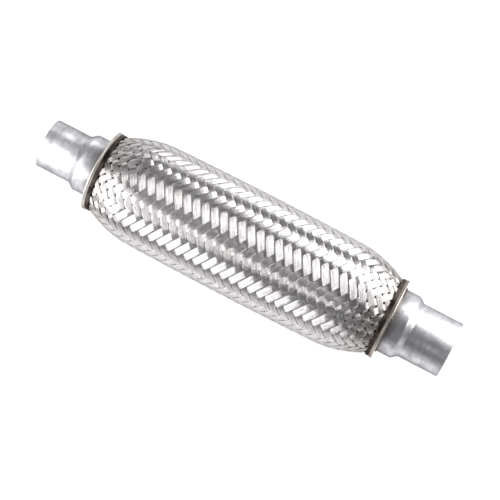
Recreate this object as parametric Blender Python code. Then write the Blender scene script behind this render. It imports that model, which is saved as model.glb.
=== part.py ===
"""Braided exhaust flex pipe: two stub pipes, two pressed end caps, a bellows, a liner and a woven braid.

The pipe lies along X. The origin is the middle of its axis, with the inlet stub towards -X and the outlet
stub towards +X. Lengths are in metres and angles in radians.
"""

from math import cos, pi, radians, sin

import bmesh
import bpy

# Lengths along the axis
FLEX_LENGTH = 0.252          # from the outer face of one end cap to that of the other
INLET_STUB_LENGTH = 0.0475   # a stub pipe, from its cap's face to its open end
OUTLET_STUB_LENGTH = 0.0505
INLET_COLLAR_LENGTH = 0.0135  # the stub's widened collar, next to the cap
OUTLET_COLLAR_LENGTH = 0.0120
FLARE_LENGTH = 0.0060        # the swaged slope between a collar and its pipe

# Stub pipes: outer radii of the pipe and of its widened collar
INLET_PIPE_RADIUS = 0.0198
INLET_COLLAR_RADIUS = 0.0235
OUTLET_PIPE_RADIUS = 0.0224
OUTLET_COLLAR_RADIUS = 0.0261
PIPE_WALL = 0.0015
WELD_LEG = 0.0013            # leg of the fillet weld between collar and cap

# End caps
CAP_RIM_RADIUS = 0.0330      # the raised rim, the cap's largest radius
CAP_RIM_HEIGHT = 0.0005      # how far the rim stands over the skirt
CAP_RIM_WIDTH = 0.0013
CAP_SKIRT_WALL = 0.0009
CAP_FACE_WALL = 0.0012
CAP_DEPTH = 0.0056           # from the cap's face to the skirt's mouth
CAP_CORNER = 0.0005          # bevel of the rim

# Woven braid
BRAID_RADIUS = 0.0430        # over the ridges, at the middle of the barrel
BRAID_CROWN_DROP = 0.0018    # how far the barrel falls away from its middle to a cap's mouth
BRAID_SHOULDER_LENGTH = 0.040
RIBBON_COUNT = 24            # ribbons that wind each way; a multiple of 4, for the twill to close on itself
RIBBON_PITCH = 0.00775       # along the axis, between neighbouring ribbons
WEAVE_TURN = radians(2.25)   # turns the rows of the weave round the axis
RIDGE_HEIGHT = 0.0008        # from the seams between ribbons to the tops of the ribbons
BRAID_WALL = 0.0011          # under the seams

# Bellows and liner
BELLOWS_CUFF_LENGTH = 0.016  # the plain stretch at each end
BELLOWS_FOLDS = 15
BELLOWS_WALL = 0.0010
LINER_WALL = 0.0010

# Clearances
SEAT_GAP = 0.0003            # between pieces that lie on each other
BELLOWS_CLEARANCE = 0.0006   # between the bellows and the braid round it
LINER_CLEARANCE = 0.0004     # between the liner and the bellows round it

# Facets round the axis, and straight lengths along a braid shoulder's inner wall
VISIBLE_FACETS = 32
INNER_FACETS = 16
SHOULDER_STEPS = 4

HALF_FLEX = FLEX_LENGTH / 2
FLEX_MIDDLE = (INLET_STUB_LENGTH - OUTLET_STUB_LENGTH) / 2
SKIRT_RADIUS = CAP_RIM_RADIUS - CAP_RIM_HEIGHT
CAP_MOUTH = HALF_FLEX - CAP_DEPTH
BRAID_MOUTH_RADIUS = SKIRT_RADIUS - CAP_SKIRT_WALL - SEAT_GAP
SHOULDER_START = CAP_MOUTH - BRAID_SHOULDER_LENGTH
INNER_END = HALF_FLEX - CAP_FACE_WALL - SEAT_GAP


def clear_scene():
    for item in list(bpy.data.objects):
        bpy.data.objects.remove(item, do_unlink=True)


def steel(name, colour, roughness):
    material = bpy.data.materials.new(name)
    material.use_nodes = True
    shader = material.node_tree.nodes["Principled BSDF"]
    shader.inputs["Base Color"].default_value = (*colour, 1.0)
    shader.inputs["Metallic"].default_value = 1.0
    shader.inputs["Roughness"].default_value = roughness
    return material


def add_object(name, bm, material, sharp_angle):
    """Closes a bmesh into a smooth-shaded object whose faces point out."""
    bmesh.ops.recalc_face_normals(bm, faces=bm.faces[:])
    mesh = bpy.data.meshes.new(name)
    bm.to_mesh(mesh)
    bm.free()
    mesh.shade_smooth()
    mesh.set_sharp_from_angle(angle=sharp_angle)
    mesh.materials.append(material)
    item = bpy.data.objects.new(name, mesh)
    item.location.x = FLEX_MIDDLE
    bpy.context.scene.collection.objects.link(item)


def spin_profile(name, profile, facets, material):
    """Spins a closed outline of (x, radius) points about the X axis."""
    bm = bmesh.new()
    corners = [bm.verts.new((x, 0.0, radius)) for x, radius in profile]
    edges = [bm.edges.new((corners[i - 1], corners[i])) for i in range(len(corners))]
    bmesh.ops.spin(
        bm, geom=corners + edges, cent=(0, 0, 0), axis=(1, 0, 0), angle=2 * pi, steps=facets, use_merge=True
    )
    bmesh.ops.remove_doubles(bm, verts=bm.verts[:], dist=1e-6)
    add_object(name, bm, material, radians(35))


def towards(side, profile):
    """Puts an outline drawn for the +X end at that end (side 1) or at the -X end (side -1)."""
    return [(side * x, radius) for x, radius in profile]


def ease(share):
    """A smooth step from 0 to 1."""
    return share * share * (3 - 2 * share)


def stub_pipe(name, side, length, pipe_radius, collar, material):
    """A pipe whose inner end is widened to a collar, which is welded to the cap's face."""
    collar_length, collar_radius = collar
    seat = HALF_FLEX + SEAT_GAP
    open_end = HALF_FLEX + length
    flare_start = HALF_FLEX + collar_length
    flare_steps = 3
    slope = [
        (
            flare_start + FLARE_LENGTH * step / flare_steps,
            collar_radius + (pipe_radius - collar_radius) * ease(step / flare_steps),
        )
        for step in range(flare_steps + 1)
    ]
    weld = [(seat, collar_radius + WELD_LEG), (seat + WELD_LEG, collar_radius)]
    outer = [*weld, *slope, (open_end, pipe_radius)]
    inner = [(open_end, pipe_radius), *reversed(slope), (seat, collar_radius)]
    profile = outer + [(x, radius - PIPE_WALL) for x, radius in inner]
    spin_profile(name, towards(side, profile), VISIBLE_FACETS, material)


def end_cap(name, side, collar_radius, material):
    """A pressed cup: a skirt over the braid's end, a raised rim, and a face with a hole to the collar."""
    rim_start = HALF_FLEX - CAP_RIM_WIDTH
    inner_face = HALF_FLEX - CAP_FACE_WALL
    hole_radius = collar_radius - PIPE_WALL
    inner_radius = SKIRT_RADIUS - CAP_SKIRT_WALL
    profile = [
        (CAP_MOUTH, inner_radius),
        (CAP_MOUTH, SKIRT_RADIUS),
        (rim_start, SKIRT_RADIUS),
        (rim_start, CAP_RIM_RADIUS),
        (HALF_FLEX - CAP_CORNER, CAP_RIM_RADIUS),
        (HALF_FLEX, CAP_RIM_RADIUS - CAP_CORNER),
        (HALF_FLEX, hole_radius),
        (inner_face, hole_radius),
        (inner_face, inner_radius),
    ]
    spin_profile(name, towards(side, profile), VISIBLE_FACETS, material)


def room_for_bellows(x):
    """Largest radius that the bellows may have inside the braid's flat-sided inner wall."""
    outer_radius = braid_radius(max(abs(x), SHOULDER_START))
    return (outer_radius - RIDGE_HEIGHT - BRAID_WALL) * cos(pi / RIBBON_COUNT) - BELLOWS_CLEARANCE


def bellows(name, material):
    """A folded tube: a zigzag of crests and roots between two plain cuffs that end inside the caps."""
    cuff_radius = room_for_bellows(INNER_END)
    fold_end = INNER_END - BELLOWS_CUFF_LENGTH
    stations = [fold_end * (step / BELLOWS_FOLDS - 1) for step in range(2 * BELLOWS_FOLDS + 1)]
    zigzag = [(x, room_for_bellows(x) if step % 2 else cuff_radius) for step, x in enumerate(stations)]
    outer = [(-INNER_END, cuff_radius), *zigzag, (INNER_END, cuff_radius)]
    inner = [(x, radius - BELLOWS_WALL) for x, radius in reversed(outer)]
    spin_profile(name, outer + inner, INNER_FACETS, material)


def liner(name, material):
    """A thin sleeve inside the bellows, which butts against both caps and keeps the gas off the folds."""
    outer_radius = room_for_bellows(INNER_END) - BELLOWS_WALL - LINER_CLEARANCE
    inner_radius = outer_radius - LINER_WALL
    profile = [
        (-INNER_END, outer_radius),
        (INNER_END, outer_radius),
        (INNER_END, inner_radius),
        (-INNER_END, inner_radius),
    ]
    spin_profile(name, profile, INNER_FACETS, material)


def braid_radius(x):
    """Outer radius of the braid: a slightly crowned barrel that curves down into the mouth of each cap."""
    reach = min(abs(x), CAP_MOUTH)
    crown = BRAID_CROWN_DROP * (reach / CAP_MOUTH) ** 2
    shoulder_drop = BRAID_RADIUS - BRAID_CROWN_DROP - BRAID_MOUTH_RADIUS
    into_shoulder = max(0.0, (reach - SHOULDER_START) / BRAID_SHOULDER_LENGTH)
    return BRAID_RADIUS - crown - shoulder_drop * into_shoulder**2


def on_braid(bm, x, turn, depth):
    """A vertex that lies a depth under the braid's outer surface; turn counts half ribbon spacings."""
    radius = braid_radius(x) - depth
    angle = WEAVE_TURN + turn * pi / RIBBON_COUNT
    return bm.verts.new((x, radius * sin(angle), radius * cos(angle)))


def cell_is_a(turn):
    """True where a ribbon of the first family lies on top: each one goes over two and under two."""
    return turn % 4 in (1, 2)


def woven_face(bm, columns, turns):
    """The outer face: a raised ridge for each stretch of ribbon that lies on top, and low seams round it.

    Seam points stand where the edges of the two families of ribbons cross, at (column, turn) with both odd
    or both even. A cell between four of them is one crossing, and its middle is raised. A ribbon on top
    covers two cells in a row, and an edge joins their middles, which is the ridge.
    """
    half_pitch = RIBBON_PITCH / 2
    seams = {
        (column, turn): on_braid(bm, column * half_pitch, turn, RIDGE_HEIGHT)
        for column in range(-columns, columns + 1)
        for turn in range(turns)
        if (column + turn) % 2 == 0
    }
    tops = {
        (column, turn): on_braid(bm, column * half_pitch, turn, 0.0)
        for column in range(1 - columns, columns)
        for turn in range(turns)
        if (column + turn) % 2 == 1
    }

    def seam(column, turn):
        return seams[column, turn % turns]

    for (column, turn), top in tops.items():
        around = ((-1, 0), (0, -1), (1, 0), (0, 1))
        corners = [seam(column + across, turn + up) for across, up in around]
        step = 1 if cell_is_a(turn) else -1
        ahead = 1 if turn % 2 == 1 else -1
        partner = tops.get((column + step * ahead, (turn + ahead) % turns))
        shared = {seam(column + step * ahead, turn), seam(column, turn + ahead)}
        for index, corner in enumerate(corners):
            following = corners[(index + 1) % 4]
            if partner is None or {corner, following} != shared:
                bm.faces.new((top, corner, following))
            elif ahead == 1:
                bm.faces.new((top, corner, partner))
                bm.faces.new((top, partner, following))
    for column, outwards in ((-columns, -1), (columns, 1)):
        for turn in range(column % 2, turns, 2):
            bm.faces.new((seam(column, turn), seam(column, turn + 2), seam(column - outwards, turn + 1)))
    return [[seam(column, turn) for turn in range(columns % 2, turns, 2)] for column in (-columns, columns)]


def plain_ring(bm, x, first_turn, turns, depth):
    return [on_braid(bm, x, turn, depth) for turn in range(first_turn, turns, 2)]


def bridge(bm, ring, following):
    for index in range(len(ring)):
        bm.faces.new((ring[index - 1], ring[index], following[index], following[index - 1]))


def outer_braid(name, material):
    """The woven sleeve: one wall with the over-two, under-two weave of its ribbons raised on the outside."""
    bm = bmesh.new()
    turns = 2 * RIBBON_COUNT
    columns = int(INNER_END / (RIBBON_PITCH / 2))
    first_turn = columns % 2
    inlet_edge, outlet_edge = woven_face(bm, columns, turns)
    step = BRAID_SHOULDER_LENGTH / SHOULDER_STEPS
    stations = [INNER_END] + [CAP_MOUTH - step * count for count in range(SHOULDER_STEPS + 1)]
    stations += [-x for x in reversed(stations)]
    rings = [outlet_edge, plain_ring(bm, INNER_END, first_turn, turns, RIDGE_HEIGHT)]
    rings += [plain_ring(bm, x, first_turn, turns, RIDGE_HEIGHT + BRAID_WALL) for x in stations]
    rings += [plain_ring(bm, -INNER_END, first_turn, turns, RIDGE_HEIGHT), inlet_edge]
    for ring, following in zip(rings, rings[1:]):
        bridge(bm, ring, following)
    add_object(name, bm, material, radians(10))


def main():
    clear_scene()
    pipe_steel = steel("pipe_steel", (0.52, 0.52, 0.54), 0.38)
    tinted_steel = steel("heat_tinted_steel", (0.24, 0.20, 0.17), 0.35)
    braid_steel = steel("braid_steel", (0.72, 0.71, 0.70), 0.28)
    inner_steel = steel("inner_steel", (0.60, 0.59, 0.58), 0.32)

    inlet_collar = (INLET_COLLAR_LENGTH, INLET_COLLAR_RADIUS)
    outlet_collar = (OUTLET_COLLAR_LENGTH, OUTLET_COLLAR_RADIUS)
    stub_pipe("inlet_pipe", -1, INLET_STUB_LENGTH, INLET_PIPE_RADIUS, inlet_collar, pipe_steel)
    stub_pipe("outlet_pipe", 1, OUTLET_STUB_LENGTH, OUTLET_PIPE_RADIUS, outlet_collar, pipe_steel)
    end_cap("inlet_cap", -1, INLET_COLLAR_RADIUS, tinted_steel)
    end_cap("outlet_cap", 1, OUTLET_COLLAR_RADIUS, tinted_steel)
    bellows("bellows", inner_steel)
    liner("liner", inner_steel)
    outer_braid("outer_braid", braid_steel)


main()
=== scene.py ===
import math

import bpy
import numpy as np
from mathutils import Matrix, Vector


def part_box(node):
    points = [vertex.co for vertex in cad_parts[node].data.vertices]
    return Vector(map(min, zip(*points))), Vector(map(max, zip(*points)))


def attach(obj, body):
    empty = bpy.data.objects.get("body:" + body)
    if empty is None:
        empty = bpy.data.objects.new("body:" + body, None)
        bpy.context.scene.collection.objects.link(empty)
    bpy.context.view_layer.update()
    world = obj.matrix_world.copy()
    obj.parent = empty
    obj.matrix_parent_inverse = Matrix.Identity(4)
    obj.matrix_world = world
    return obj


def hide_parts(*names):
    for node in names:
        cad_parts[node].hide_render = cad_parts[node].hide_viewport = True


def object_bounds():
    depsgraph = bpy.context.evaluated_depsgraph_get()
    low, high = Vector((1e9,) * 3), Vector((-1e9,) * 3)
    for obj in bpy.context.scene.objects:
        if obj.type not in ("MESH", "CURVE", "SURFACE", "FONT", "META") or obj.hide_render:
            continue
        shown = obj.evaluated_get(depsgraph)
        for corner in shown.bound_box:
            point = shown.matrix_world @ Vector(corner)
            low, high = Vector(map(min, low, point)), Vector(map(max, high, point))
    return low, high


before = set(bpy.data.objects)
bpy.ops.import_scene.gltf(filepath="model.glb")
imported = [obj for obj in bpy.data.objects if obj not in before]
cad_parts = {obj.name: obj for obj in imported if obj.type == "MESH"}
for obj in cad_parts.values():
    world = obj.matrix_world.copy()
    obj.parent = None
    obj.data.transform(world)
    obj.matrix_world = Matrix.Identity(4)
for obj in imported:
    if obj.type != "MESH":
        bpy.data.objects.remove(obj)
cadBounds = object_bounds()
print("frame loaded:", ", ".join(sorted(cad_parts)))


# Places along the axis, read from the frame
inletCapLow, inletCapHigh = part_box("inlet_cap")
outletCapLow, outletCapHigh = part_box("outlet_cap")
flexMiddle = (inletCapLow.x + outletCapHigh.x) / 2
halfFlex = (outletCapHigh.x - inletCapLow.x) / 2
capDepth = outletCapHigh.x - outletCapLow.x
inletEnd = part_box("inlet_pipe")[0].x
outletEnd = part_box("outlet_pipe")[1].x


# Corners that lie closer together than this become one corner
mergeDistance = 0.00001


# Small helpers

def selectOnly(item):
    bpy.ops.object.select_all(action="DESELECT")
    item.select_set(True)
    bpy.context.view_layer.objects.active = item


def applyModifier(item, kind, **values):
    selectOnly(item)
    modifier = item.modifiers.new(kind.title(), kind)
    for name, value in values.items():
        setattr(modifier, name, value)
    bpy.ops.object.modifier_apply(modifier=modifier.name)


def smoothByAngle(item, degrees):
    selectOnly(item)
    bpy.ops.object.shade_smooth_by_angle(angle=math.radians(degrees))


def finishPiece(item, slot, material, *nodes):
    item.data.materials.clear()
    item.data.materials.append(material)
    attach(item, "root")
    if nodes:
        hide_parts(*nodes)


# A straight slope from 0 to 1, rounded over a part of its length at each end
def swageStep(share, rounding):
    if share < rounding:
        return share**2 / (2 * rounding * (1 - rounding))
    if share > 1 - rounding:
        return 1 - (1 - share) ** 2 / (2 * rounding * (1 - rounding))
    return (share - rounding / 2) / (1 - rounding)


# A round piece: a circle drawn out along X through (x, radius) stations, and closed on itself
def turnedPiece(name, stations, segments):
    bpy.ops.object.select_all(action="DESELECT")
    x, radius = stations[0]
    bpy.ops.mesh.primitive_circle_add(
        vertices=segments, radius=radius, location=(x, 0, 0), rotation=(0, math.pi / 2, 0)
    )
    item = bpy.context.object
    item.name = name
    bpy.ops.object.transform_apply(location=True, rotation=True, scale=True)
    bpy.ops.object.mode_set(mode="EDIT")
    bpy.ops.mesh.select_all(action="SELECT")
    for nextX, nextRadius in [*stations[1:], stations[0]]:
        bpy.ops.mesh.extrude_region_move(TRANSFORM_OT_translate={"value": (nextX - x, 0, 0)})
        grow = nextRadius / radius
        bpy.ops.transform.resize(value=(1, grow, grow), center_override=(nextX, 0, 0))
        x, radius = nextX, nextRadius
    bpy.ops.mesh.select_all(action="SELECT")
    bpy.ops.mesh.remove_doubles(threshold=mergeDistance)
    bpy.ops.mesh.normals_make_consistent(inside=False)
    bpy.ops.object.mode_set(mode="OBJECT")
    return item


# Materials

def newMaterial(name, edgeShade):
    material = bpy.data.materials.new(name)
    material.use_nodes = True
    shader = material.node_tree.nodes["Principled BSDF"]
    shader.inputs["Metallic"].default_value = 1.0
    # Steel mirrors less where it is seen edge-on
    shader.inputs["Specular Tint"].default_value = (edgeShade, edgeShade, edgeShade, 1)
    return material, material.node_tree, shader


def addNode(tree, kind, inputs=None, **values):
    node = tree.nodes.new(kind)
    for name, value in values.items():
        setattr(node, name, value)
    for name, value in (inputs or {}).items():
        node.inputs[name].default_value = value
    return node


def mathNode(tree, operation, first, second=None):
    node = addNode(tree, "ShaderNodeMath", operation=operation)
    for socket, value in zip(node.inputs, (first, second)):
        if value is None:
            continue
        if isinstance(value, (int, float)):
            socket.default_value = value
        else:
            tree.links.new(value, socket)
    return node.outputs[0]


def mixColours(tree, share, first, second):
    node = addNode(tree, "ShaderNodeMix", data_type="RGBA")
    factor, a, b = node.inputs[0], node.inputs[6], node.inputs[7]
    for socket, value in ((factor, share), (a, first), (b, second)):
        if isinstance(value, tuple):
            socket.default_value = (*value, 1)
        elif isinstance(value, (int, float)):
            socket.default_value = value
        else:
            tree.links.new(value, socket)
    return node.outputs[2]


def noiseOn(tree, vector, scale, detail, stretch=(1, 1, 1)):
    mapping = addNode(tree, "ShaderNodeMapping", {"Scale": stretch})
    noise = addNode(tree, "ShaderNodeTexNoise", {"Scale": scale, "Detail": detail})
    tree.links.new(vector, mapping.inputs["Vector"])
    tree.links.new(mapping.outputs["Vector"], noise.inputs["Vector"])
    return noise.outputs["Fac"]


def spread(tree, value, low, high, outLow, outHigh):
    node = addNode(
        tree,
        "ShaderNodeMapRange",
        {"From Min": low, "From Max": high, "To Min": outLow, "To Max": outHigh},
    )
    tree.links.new(value, node.inputs["Value"])
    return node.outputs["Result"]


def objectVector(tree):
    return addNode(tree, "ShaderNodeTexCoord").outputs["Object"]


# How far along the axis a point lies from the middle of the flex, and the node that gives its x, y and z
def distanceFromMiddle(tree, vector):
    split = addNode(tree, "ShaderNodeSeparateXYZ")
    tree.links.new(vector, split.inputs[0])
    centred = mathNode(tree, "SUBTRACT", split.outputs["X"], flexMiddle)
    return mathNode(tree, "ABSOLUTE", centred), split


def addBump(tree, shader, height, strength, distance):
    bump = addNode(tree, "ShaderNodeBump", {"Strength": strength, "Distance": distance})
    tree.links.new(height, bump.inputs["Height"])
    tree.links.new(bump.outputs["Normal"], shader.inputs["Normal"])


# Satin steel of the stub pipes: mottled, with faint marks round the pipe, and tinted beside the ring
pipeFinish = {
    "light": (0.82, 0.81, 0.85),
    "dark": (0.52, 0.52, 0.55),
    "tint": (0.34, 0.30, 0.28),
    "roughLow": 0.30,
    "roughHigh": 0.46,
    "tintLength": 0.006,
    "tintShare": 0.75,
    "edgeShade": 0.15,
    "mottleScale": 110,
    "mottleDetail": 6,
    "mottleShare": 0.65,
    "streakScale": 300,
    "streakDetail": 3,
    "streakStretch": (1, 0.25, 0.25),
    "streakShare": 0.35,
    "blendSpread": (0.38, 0.62),
    "roughSpread": (0.3, 0.7),
    "bumpStrength": 0.45,
    "bumpDistance": 0.0006,
}


def pipeSteelMaterial():
    material, tree, shader = newMaterial("pipeSteel", pipeFinish["edgeShade"])
    place = objectVector(tree)
    mottle = noiseOn(tree, place, pipeFinish["mottleScale"], pipeFinish["mottleDetail"])
    streakStretch = pipeFinish["streakStretch"]
    streak = noiseOn(tree, place, pipeFinish["streakScale"], pipeFinish["streakDetail"], streakStretch)
    mottlePart = mathNode(tree, "MULTIPLY", mottle, pipeFinish["mottleShare"])
    streakPart = mathNode(tree, "MULTIPLY", streak, pipeFinish["streakShare"])
    blend = mathNode(tree, "ADD", mottlePart, streakPart)
    shade = spread(tree, blend, *pipeFinish["blendSpread"], 0, 1)
    colour = mixColours(tree, shade, pipeFinish["light"], pipeFinish["dark"])
    away, _ = distanceFromMiddle(tree, place)
    tintEdge = halfFlex + pipeFinish["tintLength"]
    tinted = spread(tree, away, halfFlex, tintEdge, pipeFinish["tintShare"], 0)
    colour = mixColours(tree, tinted, colour, pipeFinish["tint"])
    tree.links.new(colour, shader.inputs["Base Color"])
    roughRange = (pipeFinish["roughLow"], pipeFinish["roughHigh"])
    rough = spread(tree, mottle, *pipeFinish["roughSpread"], *roughRange)
    tree.links.new(rough, shader.inputs["Roughness"])
    addBump(tree, shader, blend, pipeFinish["bumpStrength"], pipeFinish["bumpDistance"])
    return material


# Pressed end rings: a brown heat-tinted skirt, painted near black as painted shade below the rim; a lighter
# rim, lighter at the inlet end than at the outlet end; a painted highlight on the outer corner; and an end
# face darkened by heat tint from the weld and by painted shade
ringFinish = {
    # The skirt: brown heat tint, painted near black as painted shade below the rim
    "skirt": (0.060, 0.046, 0.040),
    "skirtLight": (0.19, 0.155, 0.14),
    "inletRim": (0.78, 0.74, 0.69),
    "outletRim": (0.46, 0.41, 0.37),
    # A painted highlight along the outer corner: its colour here, and its width, fade and strength below
    "corner": (0.86, 0.83, 0.78),
    # The end face: heat tint from the weld, and painted shade beside the collar
    "face": (0.24, 0.21, 0.19),
    "lightRimWidth": 0.0027,
    "cornerHighlightWidth": 0.0005,
    "cornerHighlightFade": 0.0002,
    "cornerHighlightShare": 0.9,
    "lightRimFade": (-0.0001, 0.0003),
    "faceFade": 0.0008,
    "faceDepth": (0.0002, 0.0001),
    "sideFade": 0.01,
    "edgeShade": 0.4,
    "patchScale": 90,
    "patchDetail": 4,
    "patchSpread": (0.4, 0.65),
    "patchOnRim": 0.35,
    "roughSpread": (0.3, 0.7),
    "roughLow": 0.28,
    "roughHigh": 0.46,
    "grainScale": 500,
    "grainDetail": 3,
    "bumpStrength": 0.15,
    "bumpDistance": 0.0003,
}


def ringSteelMaterial(cornerRadius):
    material, tree, shader = newMaterial("tintedRingSteelAndPaintedLight", ringFinish["edgeShade"])
    place = objectVector(tree)
    away, split = distanceFromMiddle(tree, place)
    ySquared = mathNode(tree, "POWER", split.outputs["Y"], 2)
    zSquared = mathNode(tree, "POWER", split.outputs["Z"], 2)
    radius = mathNode(tree, "SQRT", mathNode(tree, "ADD", ySquared, zSquared))
    patches = noiseOn(tree, place, ringFinish["patchScale"], ringFinish["patchDetail"])
    blotch = spread(tree, patches, *ringFinish["patchSpread"], 0, 1)
    # The skirt's brown is heat tint, and its near black is painted shade below the rim
    tint = mixColours(tree, blotch, ringFinish["skirt"], ringFinish["skirtLight"])
    sideFade = ringFinish["sideFade"]
    # The rim is painted lighter at the inlet end than at the outlet end
    atOutlet = spread(tree, split.outputs["X"], flexMiddle - sideFade, flexMiddle + sideFade, 0, 1)
    rim = mixColours(tree, atOutlet, ringFinish["inletRim"], ringFinish["outletRim"])
    rimPatches = mathNode(tree, "MULTIPLY", blotch, ringFinish["patchOnRim"])
    rim = mixColours(tree, rimPatches, rim, ringFinish["skirtLight"])
    rimStart = halfFlex - ringFinish["lightRimWidth"]
    fadeStart, fadeEnd = ringFinish["lightRimFade"]
    onRim = spread(tree, away, rimStart + fadeStart, rimStart + fadeEnd, 0, 1)
    colour = mixColours(tree, onRim, tint, rim)
    # Painted highlight: a narrow band at the outer corner is painted nearly white
    cornerHighlightStart = halfFlex - ringFinish["cornerHighlightWidth"]
    cornerHighlightFade = cornerHighlightStart - ringFinish["cornerHighlightFade"]
    onCornerHighlight = spread(tree, away, cornerHighlightFade, cornerHighlightStart, 0, ringFinish["cornerHighlightShare"])
    colour = mixColours(tree, onCornerHighlight, colour, ringFinish["corner"])
    # The end face is painted darker: heat tint from the weld, and painted shade beside the collar
    insideCorner = spread(tree, radius, cornerRadius, cornerRadius - ringFinish["faceFade"], 0, 1)
    faceStart, faceEnd = ringFinish["faceDepth"]
    atEnd = spread(tree, away, halfFlex - faceStart, halfFlex - faceEnd, 0, 1)
    onFaceTintAndShade = mathNode(tree, "MULTIPLY", insideCorner, atEnd)
    colour = mixColours(tree, onFaceTintAndShade, colour, ringFinish["face"])
    tree.links.new(colour, shader.inputs["Base Color"])
    roughRange = (ringFinish["roughLow"], ringFinish["roughHigh"])
    rough = spread(tree, patches, *ringFinish["roughSpread"], *roughRange)
    tree.links.new(rough, shader.inputs["Roughness"])
    grain = noiseOn(tree, place, ringFinish["grainScale"], ringFinish["grainDetail"])
    addBump(tree, shader, grain, ringFinish["bumpStrength"], ringFinish["bumpDistance"])
    return material


# Bright drawn wire, a little tinted beside the end rings, each wire a shade of its own, and painted shade
# in the seams between ribbons
wireFinish = {
    "bright": (0.83, 0.81, 0.81),
    "dull": (0.60, 0.575, 0.575),
    "tint": (0.40, 0.355, 0.32),
    "roughLow": 0.15,
    "roughHigh": 0.28,
    "tintLength": 0.022,
    "tintShare": 0.65,
    "wires": 9,
    "mapStep": 40,  # between ribbons in the wire map, more than the wires of one
    # Painted shade in the seams between ribbons: its colour, how many wires it covers and how strong it is
    "seam": (0.22, 0.20, 0.19),
    "seamWires": 0.65,
    "seamShare": 0.7,
    "edgeShade": 0.8,
    "wireScale": 1.0,
    "wireDetail": 2,
    "wireStretch": (1.0, 0.6, 1),
    "wireSpread": (0.35, 0.65),
    "patchScale": 60,
    "patchDetail": 3,
    "patchSpread": (0.35, 0.6),
    "patchLeast": 0.45,
    "roughSpread": (0.3, 0.7),
}


def wireSteelMaterial():
    material, tree, shader = newMaterial("braidWireSteel", wireFinish["edgeShade"])
    place = objectVector(tree)
    wireMap = addNode(tree, "ShaderNodeUVMap", uv_map="wireMap").outputs["UV"]
    wireStretch = wireFinish["wireStretch"]
    perWire = noiseOn(tree, wireMap, wireFinish["wireScale"], wireFinish["wireDetail"], wireStretch)
    patches = noiseOn(tree, place, wireFinish["patchScale"], wireFinish["patchDetail"])
    shade = spread(tree, perWire, *wireFinish["wireSpread"], 0, 1)
    colour = mixColours(tree, shade, wireFinish["bright"], wireFinish["dull"])
    away, _ = distanceFromMiddle(tree, place)
    tintStart = halfFlex - capDepth - wireFinish["tintLength"]
    nearRing = spread(tree, away, tintStart, halfFlex - capDepth, 0, wireFinish["tintShare"])
    patchy = spread(tree, patches, *wireFinish["patchSpread"], wireFinish["patchLeast"], 1)
    tinted = mathNode(tree, "MULTIPLY", nearRing, patchy)
    colour = mixColours(tree, tinted, colour, wireFinish["tint"])
    # The outermost wires of a ribbon lie in the seam beside the next one, and are painted darker there:
    # painted shade in the seam
    mapSplit = addNode(tree, "ShaderNodeSeparateXYZ")
    tree.links.new(wireMap, mapSplit.inputs[0])
    wireNumber = mathNode(tree, "MODULO", mapSplit.outputs["X"], wireFinish["mapStep"])
    edgeWire = wireFinish["wires"] / 2
    fromMiddle = mathNode(tree, "ABSOLUTE", mathNode(tree, "SUBTRACT", wireNumber, edgeWire))
    seamStart = edgeWire - wireFinish["seamWires"]
    inSeamShade = spread(tree, fromMiddle, seamStart, edgeWire, 0, wireFinish["seamShare"])
    colour = mixColours(tree, inSeamShade, colour, wireFinish["seam"])
    tree.links.new(colour, shader.inputs["Base Color"])
    roughRange = (wireFinish["roughLow"], wireFinish["roughHigh"])
    rough = spread(tree, perWire, *wireFinish["roughSpread"], *roughRange)
    tree.links.new(rough, shader.inputs["Roughness"])
    return material


# Plain rolled sheet inside, smudged; the bellows are painted darker, as painted shade under the braid
sheetFinish = {
    "linerLight": (0.60, 0.59, 0.58),
    "linerDark": (0.42, 0.41, 0.41),
    # The bellows colours are painted shade: the same sheet, darker for the shade under the braid
    "bellowsShadeLight": (0.26, 0.24, 0.23),
    "bellowsShadeDark": (0.15, 0.14, 0.13),
    "edgeShade": 0.4,
    "smudgeScale": 45,
    "smudgeDetail": 4,
    "smudgeSpread": (0.35, 0.65),
    "roughSpread": (0.3, 0.7),
    "roughLow": 0.28,
    "roughHigh": 0.42,
    "grainScale": 300,
    "grainDetail": 2,
    "grainStretch": (1, 0.1, 0.1),
    "bumpStrength": 0.1,
    "bumpDistance": 0.0003,
}


def sheetSteelMaterial(name, light, dark):
    material, tree, shader = newMaterial(name, sheetFinish["edgeShade"])
    place = objectVector(tree)
    smudge = noiseOn(tree, place, sheetFinish["smudgeScale"], sheetFinish["smudgeDetail"])
    shade = spread(tree, smudge, *sheetFinish["smudgeSpread"], 0, 1)
    tree.links.new(mixColours(tree, shade, light, dark), shader.inputs["Base Color"])
    roughRange = (sheetFinish["roughLow"], sheetFinish["roughHigh"])
    rough = spread(tree, smudge, *sheetFinish["roughSpread"], *roughRange)
    tree.links.new(rough, shader.inputs["Roughness"])
    grainStretch = sheetFinish["grainStretch"]
    grain = noiseOn(tree, place, sheetFinish["grainScale"], sheetFinish["grainDetail"], grainStretch)
    addBump(tree, shader, grain, sheetFinish["bumpStrength"], sheetFinish["bumpDistance"])
    return material


pipeSteel = pipeSteelMaterial()
wireSteel = wireSteelMaterial()
innerSteel = sheetSteelMaterial("innerSheetSteel", sheetFinish["linerLight"], sheetFinish["linerDark"])
# The bellows get the darker sheet: painted shade under the braid
bellowsShadedSteel = sheetSteelMaterial("bellowsShadedSteel", sheetFinish["bellowsShadeLight"], sheetFinish["bellowsShadeDark"])


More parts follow.
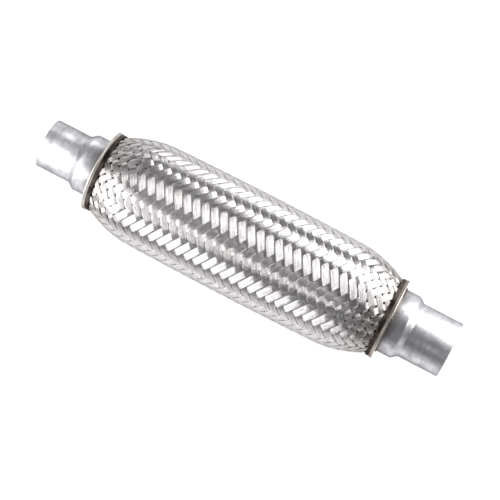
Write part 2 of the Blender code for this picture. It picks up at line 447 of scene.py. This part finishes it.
# Stub pipes, each with a widened collar against the ring
stubs = {
    "inlet": {"side": -1, "end": inletEnd, "pipe": 0.0198, "collar": 0.0235, "collarLength": 0.0135},
    "outlet": {"side": 1, "end": outletEnd, "pipe": 0.0224, "collar": 0.0261, "collarLength": 0.0120},
    "wall": 0.0015,
    "flareLength": 0.0060,
    "flareRound": 0.2,
    "flareShares": (0, 0.05, 0.1, 0.15, 0.2, 0.5, 0.8, 0.85, 0.9, 0.95, 1),
    "gap": 0.0003,
    "segments": 128,
    "edgeRadius": 0.0003,
    "smoothAngle": 40,
}

# The cut and pressed edges of stubs and rings are rounded in three steps
edgeRounding = {"segments": 3, "limit_method": "ANGLE", "angle_limit": 0.6}


def stubPipe(name, node, size):
    side = size["side"]
    face = flexMiddle + side * halfFlex
    seat = face + side * stubs["gap"]
    flareStart = face + side * size["collarLength"]
    slope = [
        (
            flareStart + side * stubs["flareLength"] * share,
            size["collar"] + (size["pipe"] - size["collar"]) * swageStep(share, stubs["flareRound"]),
        )
        for share in stubs["flareShares"]
    ]
    outer = [(seat, size["collar"]), *slope, (size["end"], size["pipe"])]
    inner = [(x, radius - stubs["wall"]) for x, radius in reversed(outer)]
    item = turnedPiece(name, outer + inner, stubs["segments"])
    applyModifier(item, "BEVEL", width=stubs["edgeRadius"], **edgeRounding)
    smoothByAngle(item, stubs["smoothAngle"])
    finishPiece(item, "pipe_steel", pipeSteel, node)


stubPipe("inletStub", "inlet_pipe", stubs["inlet"])
stubPipe("outletStub", "outlet_pipe", stubs["outlet"])
print("stub pipes done")


# End rings: a pressed cup with a raised rim, whose skirt grips the braid
ring = {
    "rimRadius": 0.0330,
    "skirtRadius": 0.0325,
    "rimWidth": 0.0013,
    "skirtWall": 0.0009,
    "faceWall": 0.0012,
    "edgeRadius": 0.00024,
    "segments": 160,
    "smoothAngle": 40,
}
ringSteel = ringSteelMaterial(ring["rimRadius"] - ring["edgeRadius"])


def endRing(name, node, size):
    side = size["side"]
    face = flexMiddle + side * halfFlex
    mouth = face - side * capDepth
    rimStart = face - side * ring["rimWidth"]
    innerFace = face - side * ring["faceWall"]
    hole = size["collar"] - stubs["wall"]
    innerRadius = ring["skirtRadius"] - ring["skirtWall"]
    stations = [
        (mouth, innerRadius),
        (mouth, ring["skirtRadius"]),
        (rimStart, ring["skirtRadius"]),
        (rimStart, ring["rimRadius"]),
        (face, ring["rimRadius"]),
        (face, hole),
        (innerFace, hole),
        (innerFace, innerRadius),
    ]
    item = turnedPiece(name, stations, ring["segments"])
    applyModifier(item, "BEVEL", width=ring["edgeRadius"], **edgeRounding)
    smoothByAngle(item, ring["smoothAngle"])
    finishPiece(item, "heat_tinted_steel", ringSteel, node)


endRing("inletRing", "inlet_cap", stubs["inlet"])
endRing("outletRing", "outlet_cap", stubs["outlet"])


# Weld beads in the corners between the collars and the rings
bead = {
    "radius": 0.0007,
    "offFace": 0.0004,
    "offCollar": 0.0003,
    "segments": 240,
    "around": 10,
    "ripple": 0.00016,
    "rippleEvery": 4,
    "smoothAngle": 60,
}


def weldBead(name, size):
    face = flexMiddle + size["side"] * (halfFlex + bead["offFace"])
    bpy.ops.object.select_all(action="DESELECT")
    bpy.ops.mesh.primitive_torus_add(
        major_segments=bead["segments"],
        minor_segments=bead["around"],
        major_radius=size["collar"] + bead["offCollar"],
        minor_radius=bead["radius"],
        location=(face, 0, 0),
        rotation=(0, math.pi / 2, 0),
    )
    item = bpy.context.object
    item.name = name
    bpy.ops.object.transform_apply(location=True, rotation=True, scale=True)
    for vertex in item.data.vertices:
        segment = vertex.index // bead["around"]
        ripplePlace = (segment % bead["rippleEvery"]) / bead["rippleEvery"]
        lift = bead["ripple"] * math.sin(math.pi * ripplePlace)
        outward = Vector((0, vertex.co.y, vertex.co.z)).normalized()
        vertex.co += outward * lift + Vector((size["side"] * lift, 0, 0))
    smoothByAngle(item, bead["smoothAngle"])
    finishPiece(item, "heat_tinted_steel", ringSteel)


weldBead("inletWeld", stubs["inlet"])
weldBead("outletWeld", stubs["outlet"])
print("end rings and welds done")


# Woven braid: 24 ribbons each way, over two and under two
braid = {
    "radius": 0.0430,
    "crownDrop": 0.0018,
    "mouthRadius": 0.0313,
    "shoulderLength": 0.040,
    "ribbonsEachWay": 24,
    "halfPitch": 0.003875,
    "turn": math.radians(2.25),
    "length": 0.1225,
    "coverMiddle": 0.91,
    "coverEnd": 0.73,
    "thickness": 0.00060,
    "wires": wireFinish["wires"],
    "wireRelief": 0.00029,
    "wireUneven": 0.000008,
    "edgeDrop": 0.00034,
    "edgePower": 3.0,
    "lift": 0.00031,
    "tilt": 0.00002,
    "passOver": 0.5,
    "steps": (0, 0.18, 0.38, 0.62, 0.82, 1, 1.5),
    "wander": 0.020,
    "wanderWave": 5.0,
    "tiltWave": 4.0,
    "waves": 3,
    "waveGrowth": 2.3,
    "backWidth": 0.97,
    "slopeStep": 0.0001,
    "mergeDistance": 0.000001,
    "seed": 11,
    "seedStep": 100,
    # Some rows of the weave lie turned round the axis: at which angle, and by how much, in degrees
    "rowShifts": ((-69, -2.6), (-54, -1.6), (-39, -0.6), (-9, 0), (6, 3.0), (21, 3.0), (36, 0.4), (51, 0)),
}


# 0 along the barrel, growing to 1 at the mouth of the ring
def intoShoulder(x):
    mouth = halfFlex - capDepth
    return np.clip((np.abs(x) - mouth + braid["shoulderLength"]) / braid["shoulderLength"], 0, 1)


# Radius of the braid's outside: a slightly crowned barrel that curves down into the rings
def braidRadius(x):
    mouth = halfFlex - capDepth
    reach = np.minimum(np.abs(x), mouth)
    crown = braid["crownDrop"] * (reach / mouth) ** 2
    drop = braid["radius"] - braid["crownDrop"] - braid["mouthRadius"]
    return braid["radius"] - crown - drop * intoShoulder(x) ** 2


# A point that stands off the barrel by a height, square to its surface
def onBarrel(x, angle, height):
    step = braid["slopeStep"]
    radius = braidRadius(x)
    slope = (braidRadius(x + step) - braidRadius(x - step)) / (2 * step)
    length = np.sqrt(1 + slope**2)
    outward = radius + height / length
    along = x - height * slope / length
    return np.stack([along + flexMiddle, outward * np.sin(angle), outward * np.cos(angle)], axis=-1)


# A slow, uneven wave between -1 and 1
def slowNoise(randoms, along, shortest):
    total = np.zeros_like(along)
    for octave in range(braid["waves"]):
        wave = shortest * braid["waveGrowth"] ** octave
        total += np.sin(2 * np.pi * (along / wave + randoms.random()))
    return total / braid["waves"]


# The rows don't lie quite evenly round the barrel
def uneven(angle):
    places, shifts = zip(*braid["rowShifts"])
    return angle + np.radians(np.interp(np.degrees(angle), places, shifts, left=0, right=0, period=360))


# Where a ribbon's stations lie along its diagonal, and how high it rides: 1 over, -1 under
def ribbonStations(leaning, index):
    columns = braid["length"] / braid["halfPitch"]
    phase = index if leaning == 1 else index - 1
    low = -columns - index - 1
    high = low + 2 * columns
    first = math.floor((low - phase) / 2) * 2 + phase
    steps = [first + 2 * count + step for count in range(int(columns) + 2) for step in braid["steps"]]
    q = np.array([low, *[step for step in steps if low < step < high], high])
    # The weave comes round every four crossings: 0 at the middle of an over, 2 at the middle of an under
    over = np.abs((q - phase - 1.5 + 2) % 4 - 2)
    wave = np.sin(np.clip((1 - over) / braid["passOver"], -1, 1) * np.pi / 2)
    return q, wave


# Across a ribbon: a ridge for each wire, and a flat back that closes it
def ribbonSection():
    edges = 2 * braid["wires"] + 1
    across = np.linspace(-1, 1, edges)
    crown = -braid["edgeDrop"] * np.abs(across) ** braid["edgePower"]
    relief = np.where(np.arange(edges) % 2 == 0, -braid["wireRelief"], 0) + crown
    across = np.concatenate([across, [braid["backWidth"], -braid["backWidth"], -1]])
    relief = np.concatenate([relief, [-braid["thickness"], -braid["thickness"], relief[0]]])
    return across, relief


def ribbonShape(leaning, index, randoms):
    q, wave = ribbonStations(leaning, index)
    across, relief = ribbonSection()
    x = (q + index + 1) * braid["halfPitch"]
    cover = braid["coverMiddle"] + (braid["coverEnd"] - braid["coverMiddle"]) * intoShoulder(x)
    middle = index + braid["wander"] * slowNoise(randoms, q, braid["wanderWave"])
    p = middle[:, None] + across[None, :] * cover[:, None] / 2
    wireLift = randoms.normal(0, braid["wireUneven"], len(across))
    wireLift[-1] = wireLift[0]
    tilt = braid["tilt"] * slowNoise(randoms, q, braid["tiltWave"])
    height = (wave[:, None] - 1) * braid["lift"] + relief[None, :]
    height = height + wireLift[None, :] + tilt[:, None] * across[None, :]
    column = p + q[:, None] + 1
    angle = braid["turn"] + leaning * (q[:, None] - p) * math.pi / braid["ribbonsEachWay"]
    return onBarrel(column * braid["halfPitch"], uneven(angle), height), q


# A flat strip is made for each group of ribbons, and copied for each ribbon in it
def flatStrip(leaning):
    q, _ = ribbonStations(leaning, 0)
    across, _ = ribbonSection()
    bpy.ops.object.select_all(action="DESELECT")
    bpy.ops.mesh.primitive_grid_add(x_subdivisions=len(q) - 1, y_subdivisions=len(across) - 1, size=2)
    strip = bpy.context.object
    mesh = strip.data
    mesh.shade_smooth()
    flat = np.zeros(len(mesh.vertices) * 3, np.float32)
    mesh.vertices.foreach_get("co", flat)
    station = np.rint((flat[0::3] + 1) / 2 * (len(q) - 1)).astype(int)
    wire = np.rint((flat[1::3] + 1) / 2 * (len(across) - 1)).astype(int)
    # The grooves between the wires stay crisp
    groove = (wire % 2 == 0) | (wire > 2 * braid["wires"])
    ends = np.zeros(len(mesh.edges) * 2, np.int32)
    mesh.edges.foreach_get("vertices", ends)
    ends = ends.reshape(-1, 2)
    crisp = (wire[ends[:, 0]] == wire[ends[:, 1]]) & groove[ends[:, 0]]
    mesh.attributes.new("sharp_edge", "BOOLEAN", "EDGE").data.foreach_set("value", crisp)
    mesh.uv_layers[0].name = "wireMap"
    return strip, station, wire


def ribbonGroup(name, leaning, indexes):
    randoms = np.random.default_rng(braid["seed"] + braid["seedStep"] * (leaning + 1) + indexes[0])
    strip, station, wire = flatStrip(leaning)
    corners = np.zeros(len(strip.data.loops), np.int32)
    strip.data.loops.foreach_get("vertex_index", corners)
    ribbons = []
    for index in indexes:
        ribbon = strip.copy()
        ribbon.data = strip.data.copy()
        bpy.context.scene.collection.objects.link(ribbon)
        shape, q = ribbonShape(leaning, index, randoms)
        ribbon.data.vertices.foreach_set("co", shape[station, wire].astype(np.float32).ravel())
        wireMap = np.stack([wire / 2 + index * wireFinish["mapStep"], q[station]], axis=-1)
        ribbon.data.uv_layers["wireMap"].data.foreach_set("uv", wireMap[corners].astype(np.float32).ravel())
        ribbons.append(ribbon)
    bpy.data.objects.remove(strip)
    bpy.ops.object.select_all(action="DESELECT")
    for ribbon in ribbons:
        ribbon.select_set(True)
    bpy.context.view_layer.objects.active = ribbons[0]
    bpy.ops.object.join()
    group = bpy.context.object
    group.name = name
    # The strip's long sides meet at one edge of the ribbon, then its two ends are closed
    bpy.ops.object.mode_set(mode="EDIT")
    bpy.ops.mesh.select_all(action="SELECT")
    bpy.ops.mesh.remove_doubles(threshold=braid["mergeDistance"])
    bpy.ops.mesh.fill_holes(sides=0)
    bpy.ops.mesh.select_all(action="SELECT")
    bpy.ops.mesh.normals_make_consistent(inside=False)
    bpy.ops.object.mode_set(mode="OBJECT")
    finishPiece(group, "braid_steel", wireSteel, "outer_braid")
    return group


half = braid["ribbonsEachWay"] // 2
for groupName, leaning, indexes in (
    ("braidForward1", 1, range(half)),
    ("braidForward2", 1, range(half, 2 * half)),
    ("braidBackward1", -1, range(half)),
    ("braidBackward2", -1, range(half, 2 * half)),
):
    group = ribbonGroup(groupName, leaning, list(indexes))
    print(groupName, sum(len(face.vertices) - 2 for face in group.data.polygons), "triangles")


# Liner: an interlocked strip, whose turns show as ridges inside the bore
linerLow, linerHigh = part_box("liner")
liner = {
    "turnLength": 0.0050,
    "ridge": 0.0007,
    "wall": 0.0004,
    "inset": 0.0002,
    "ridgeShares": (0, 0.42, 0.50, 0.92, 1.0),
    "segments": 96,
    "smoothAngle": 40,
}


def interlockedLiner():
    radius = linerHigh.z - liner["inset"]
    length = linerHigh.x - linerLow.x
    turns = round(length / liner["turnLength"])
    pitch = length / turns
    low = radius - liner["ridge"]
    stations = list(zip(liner["ridgeShares"], (radius, radius, low, low, radius)))
    bpy.ops.object.select_all(action="DESELECT")
    bpy.ops.mesh.primitive_circle_add(
        vertices=liner["segments"], radius=radius, location=(linerLow.x, 0, 0), rotation=(0, math.pi / 2, 0)
    )
    item = bpy.context.object
    item.name = "interlockedLiner"
    bpy.ops.object.transform_apply(location=True, rotation=True, scale=True)
    bpy.ops.object.mode_set(mode="EDIT")
    bpy.ops.mesh.select_all(action="SELECT")
    for (share, size), (nextShare, nextSize) in zip(stations, stations[1:]):
        step = (nextShare - share) * pitch
        bpy.ops.mesh.extrude_region_move(TRANSFORM_OT_translate={"value": (step, 0, 0)})
        grow = nextSize / size
        centre = (linerLow.x + nextShare * pitch, 0, 0)
        bpy.ops.transform.resize(value=(1, grow, grow), center_override=centre)
    bpy.ops.object.mode_set(mode="OBJECT")
    applyModifier(
        item,
        "ARRAY",
        count=turns,
        use_relative_offset=False,
        use_constant_offset=True,
        constant_offset_displace=(pitch, 0, 0),
        use_merge_vertices=True,
        merge_threshold=mergeDistance,
    )
    selectOnly(item)
    bpy.ops.object.mode_set(mode="EDIT")
    bpy.ops.mesh.select_all(action="SELECT")
    bpy.ops.mesh.normals_make_consistent(inside=False)
    bpy.ops.object.mode_set(mode="OBJECT")
    applyModifier(item, "SOLIDIFY", thickness=liner["wall"], offset=-1)
    smoothByAngle(item, liner["smoothAngle"])
    finishPiece(item, "inner_steel", innerSteel, "liner")


interlockedLiner()
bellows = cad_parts["bellows"]
bellows.data.materials.clear()
bellows.data.materials.append(bellowsShadedSteel)
print("liner and bellows done")


# Floor, light and camera
studio = {
    "azimuth": 27.83,
    "elevation": 77.96,
    "distance": 1.219,
    "lens": 113.71,
    "aimRight": 0.0027,
    "aimUp": -0.0037,
    "sensor": 36,
    "floorSize": 6.0,
    "floorGap": 0.0002,
    "floorShade": 0.20,
    "floorRough": 0.9,
    "floorGlow": 0.90,
    "floorFar": 0.50,
    "floorFade": (0.28, 0.48),
    "skyLow": 0.75,
    "skyHigh": 0.12,
    "skyFade": 0.20,
}
softboxes = [
    # Each has a place to the right, up and towards the camera, as the camera sees it, a size and a glow
    # A roll in degrees turns a box about the line from it to the object
    {"name": "leftSoftbox", "place": (-0.401, -0.020, 0.203), "size": (0.46, 0.42), "glow": 3.2},
    {"name": "rightSoftbox", "place": (0.381, 0.124, 0.204), "size": (0.54, 0.42), "glow": 3.7},
    {"name": "leftTopPanel", "place": (-0.29, 0.36, 0.50), "size": (0.50, 0.28), "glow": 0.8},
    {"name": "frontStrip", "place": (0.160, -0.365, 0.43), "size": (0.14, 0.05), "roll": 62.7, "glow": 3.2},
    {"name": "backStrip", "place": (-0.09, 0.48, 0.06), "size": (0.36, 0.11), "glow": 2.2},
]


def cameraAxes():
    a, e = math.radians(studio["azimuth"]), math.radians(studio["elevation"])
    back = Vector((math.sin(a) * math.cos(e), -math.cos(a) * math.cos(e), math.sin(e)))
    right = Vector((math.cos(a), math.sin(a), 0))
    return right, back.cross(right), back


def makeFloor():
    bpy.ops.object.select_all(action="DESELECT")
    height = cadBounds[0].z - studio["floorGap"]
    bpy.ops.mesh.primitive_plane_add(size=studio["floorSize"], location=(0, 0, height))
    floor = bpy.context.object
    floor.name = "floor"
    material = bpy.data.materials.new("paleFloor")
    material.use_nodes = True
    shader = material.node_tree.nodes["Principled BSDF"]
    shade = studio["floorShade"]
    shader.inputs["Base Color"].default_value = (shade, shade, shade, 1)
    shader.inputs["Roughness"].default_value = studio["floorRough"]
    shader.inputs["Emission Color"].default_value = (1, 1, 1, 1)
    # The pool of light is even in the picture, and falls off outside it
    tree = material.node_tree
    distance = addNode(tree, "ShaderNodeVectorMath", operation="LENGTH")
    tree.links.new(objectVector(tree), distance.inputs[0])
    near, far = studio["floorFade"]
    glow = spread(tree, distance.outputs["Value"], near, far, studio["floorGlow"], studio["floorFar"])
    tree.links.new(glow, shader.inputs["Emission Strength"])
    floor.data.materials.append(material)


def makeLights():
    right, up, back = cameraAxes()
    for box in softboxes:
        place = right * box["place"][0] + up * box["place"][1] + back * box["place"][2]
        light = bpy.data.lights.new(box["name"], "AREA")
        light.shape = "RECTANGLE"
        light.size, light.size_y = box["size"]
        light.energy = math.pi * box["size"][0] * box["size"][1] * box["glow"]
        item = bpy.data.objects.new(box["name"], light)
        item.location = place
        item.rotation_mode = "QUATERNION"
        # The box faces the object, and before its roll its first side runs up the picture
        outward = place.normalized()
        firstSide = (up - outward * up.dot(outward)).normalized()
        firstSide = Matrix.Rotation(math.radians(box.get("roll", 0)), 3, outward) @ firstSide
        axes = Matrix((firstSide, outward.cross(firstSide), outward)).transposed()
        item.rotation_quaternion = axes.to_quaternion()
        bpy.context.scene.collection.objects.link(item)


def makeWorld():
    world = bpy.data.worlds.new("studioWorld")
    world.use_nodes = True
    # The room is pale near the floor and dim overhead
    tree = world.node_tree
    background = tree.nodes["Background"]
    background.inputs["Color"].default_value = (1, 1, 1, 1)
    split = addNode(tree, "ShaderNodeSeparateXYZ")
    tree.links.new(addNode(tree, "ShaderNodeTexCoord").outputs["Generated"], split.inputs[0])
    glow = spread(tree, split.outputs["Z"], 0, studio["skyFade"], studio["skyLow"], studio["skyHigh"])
    tree.links.new(glow, background.inputs["Strength"])
    bpy.context.scene.world = world


def makeCamera():
    right, up, back = cameraAxes()
    data = bpy.data.cameras.new("camera")
    data.lens = studio["lens"]
    data.sensor_width = studio["sensor"]
    camera = bpy.data.objects.new("camera", data)
    aim = right * studio["aimRight"] + up * studio["aimUp"]
    camera.location = aim + back * studio["distance"]
    camera.rotation_mode = "QUATERNION"
    camera.rotation_quaternion = (-back).to_track_quat("-Z", "Y")
    bpy.context.scene.collection.objects.link(camera)
    bpy.context.scene.camera = camera


makeFloor()
makeLights()
makeWorld()
makeCamera()
bpy.context.scene.view_settings.view_transform = "Standard"
print("studio done")
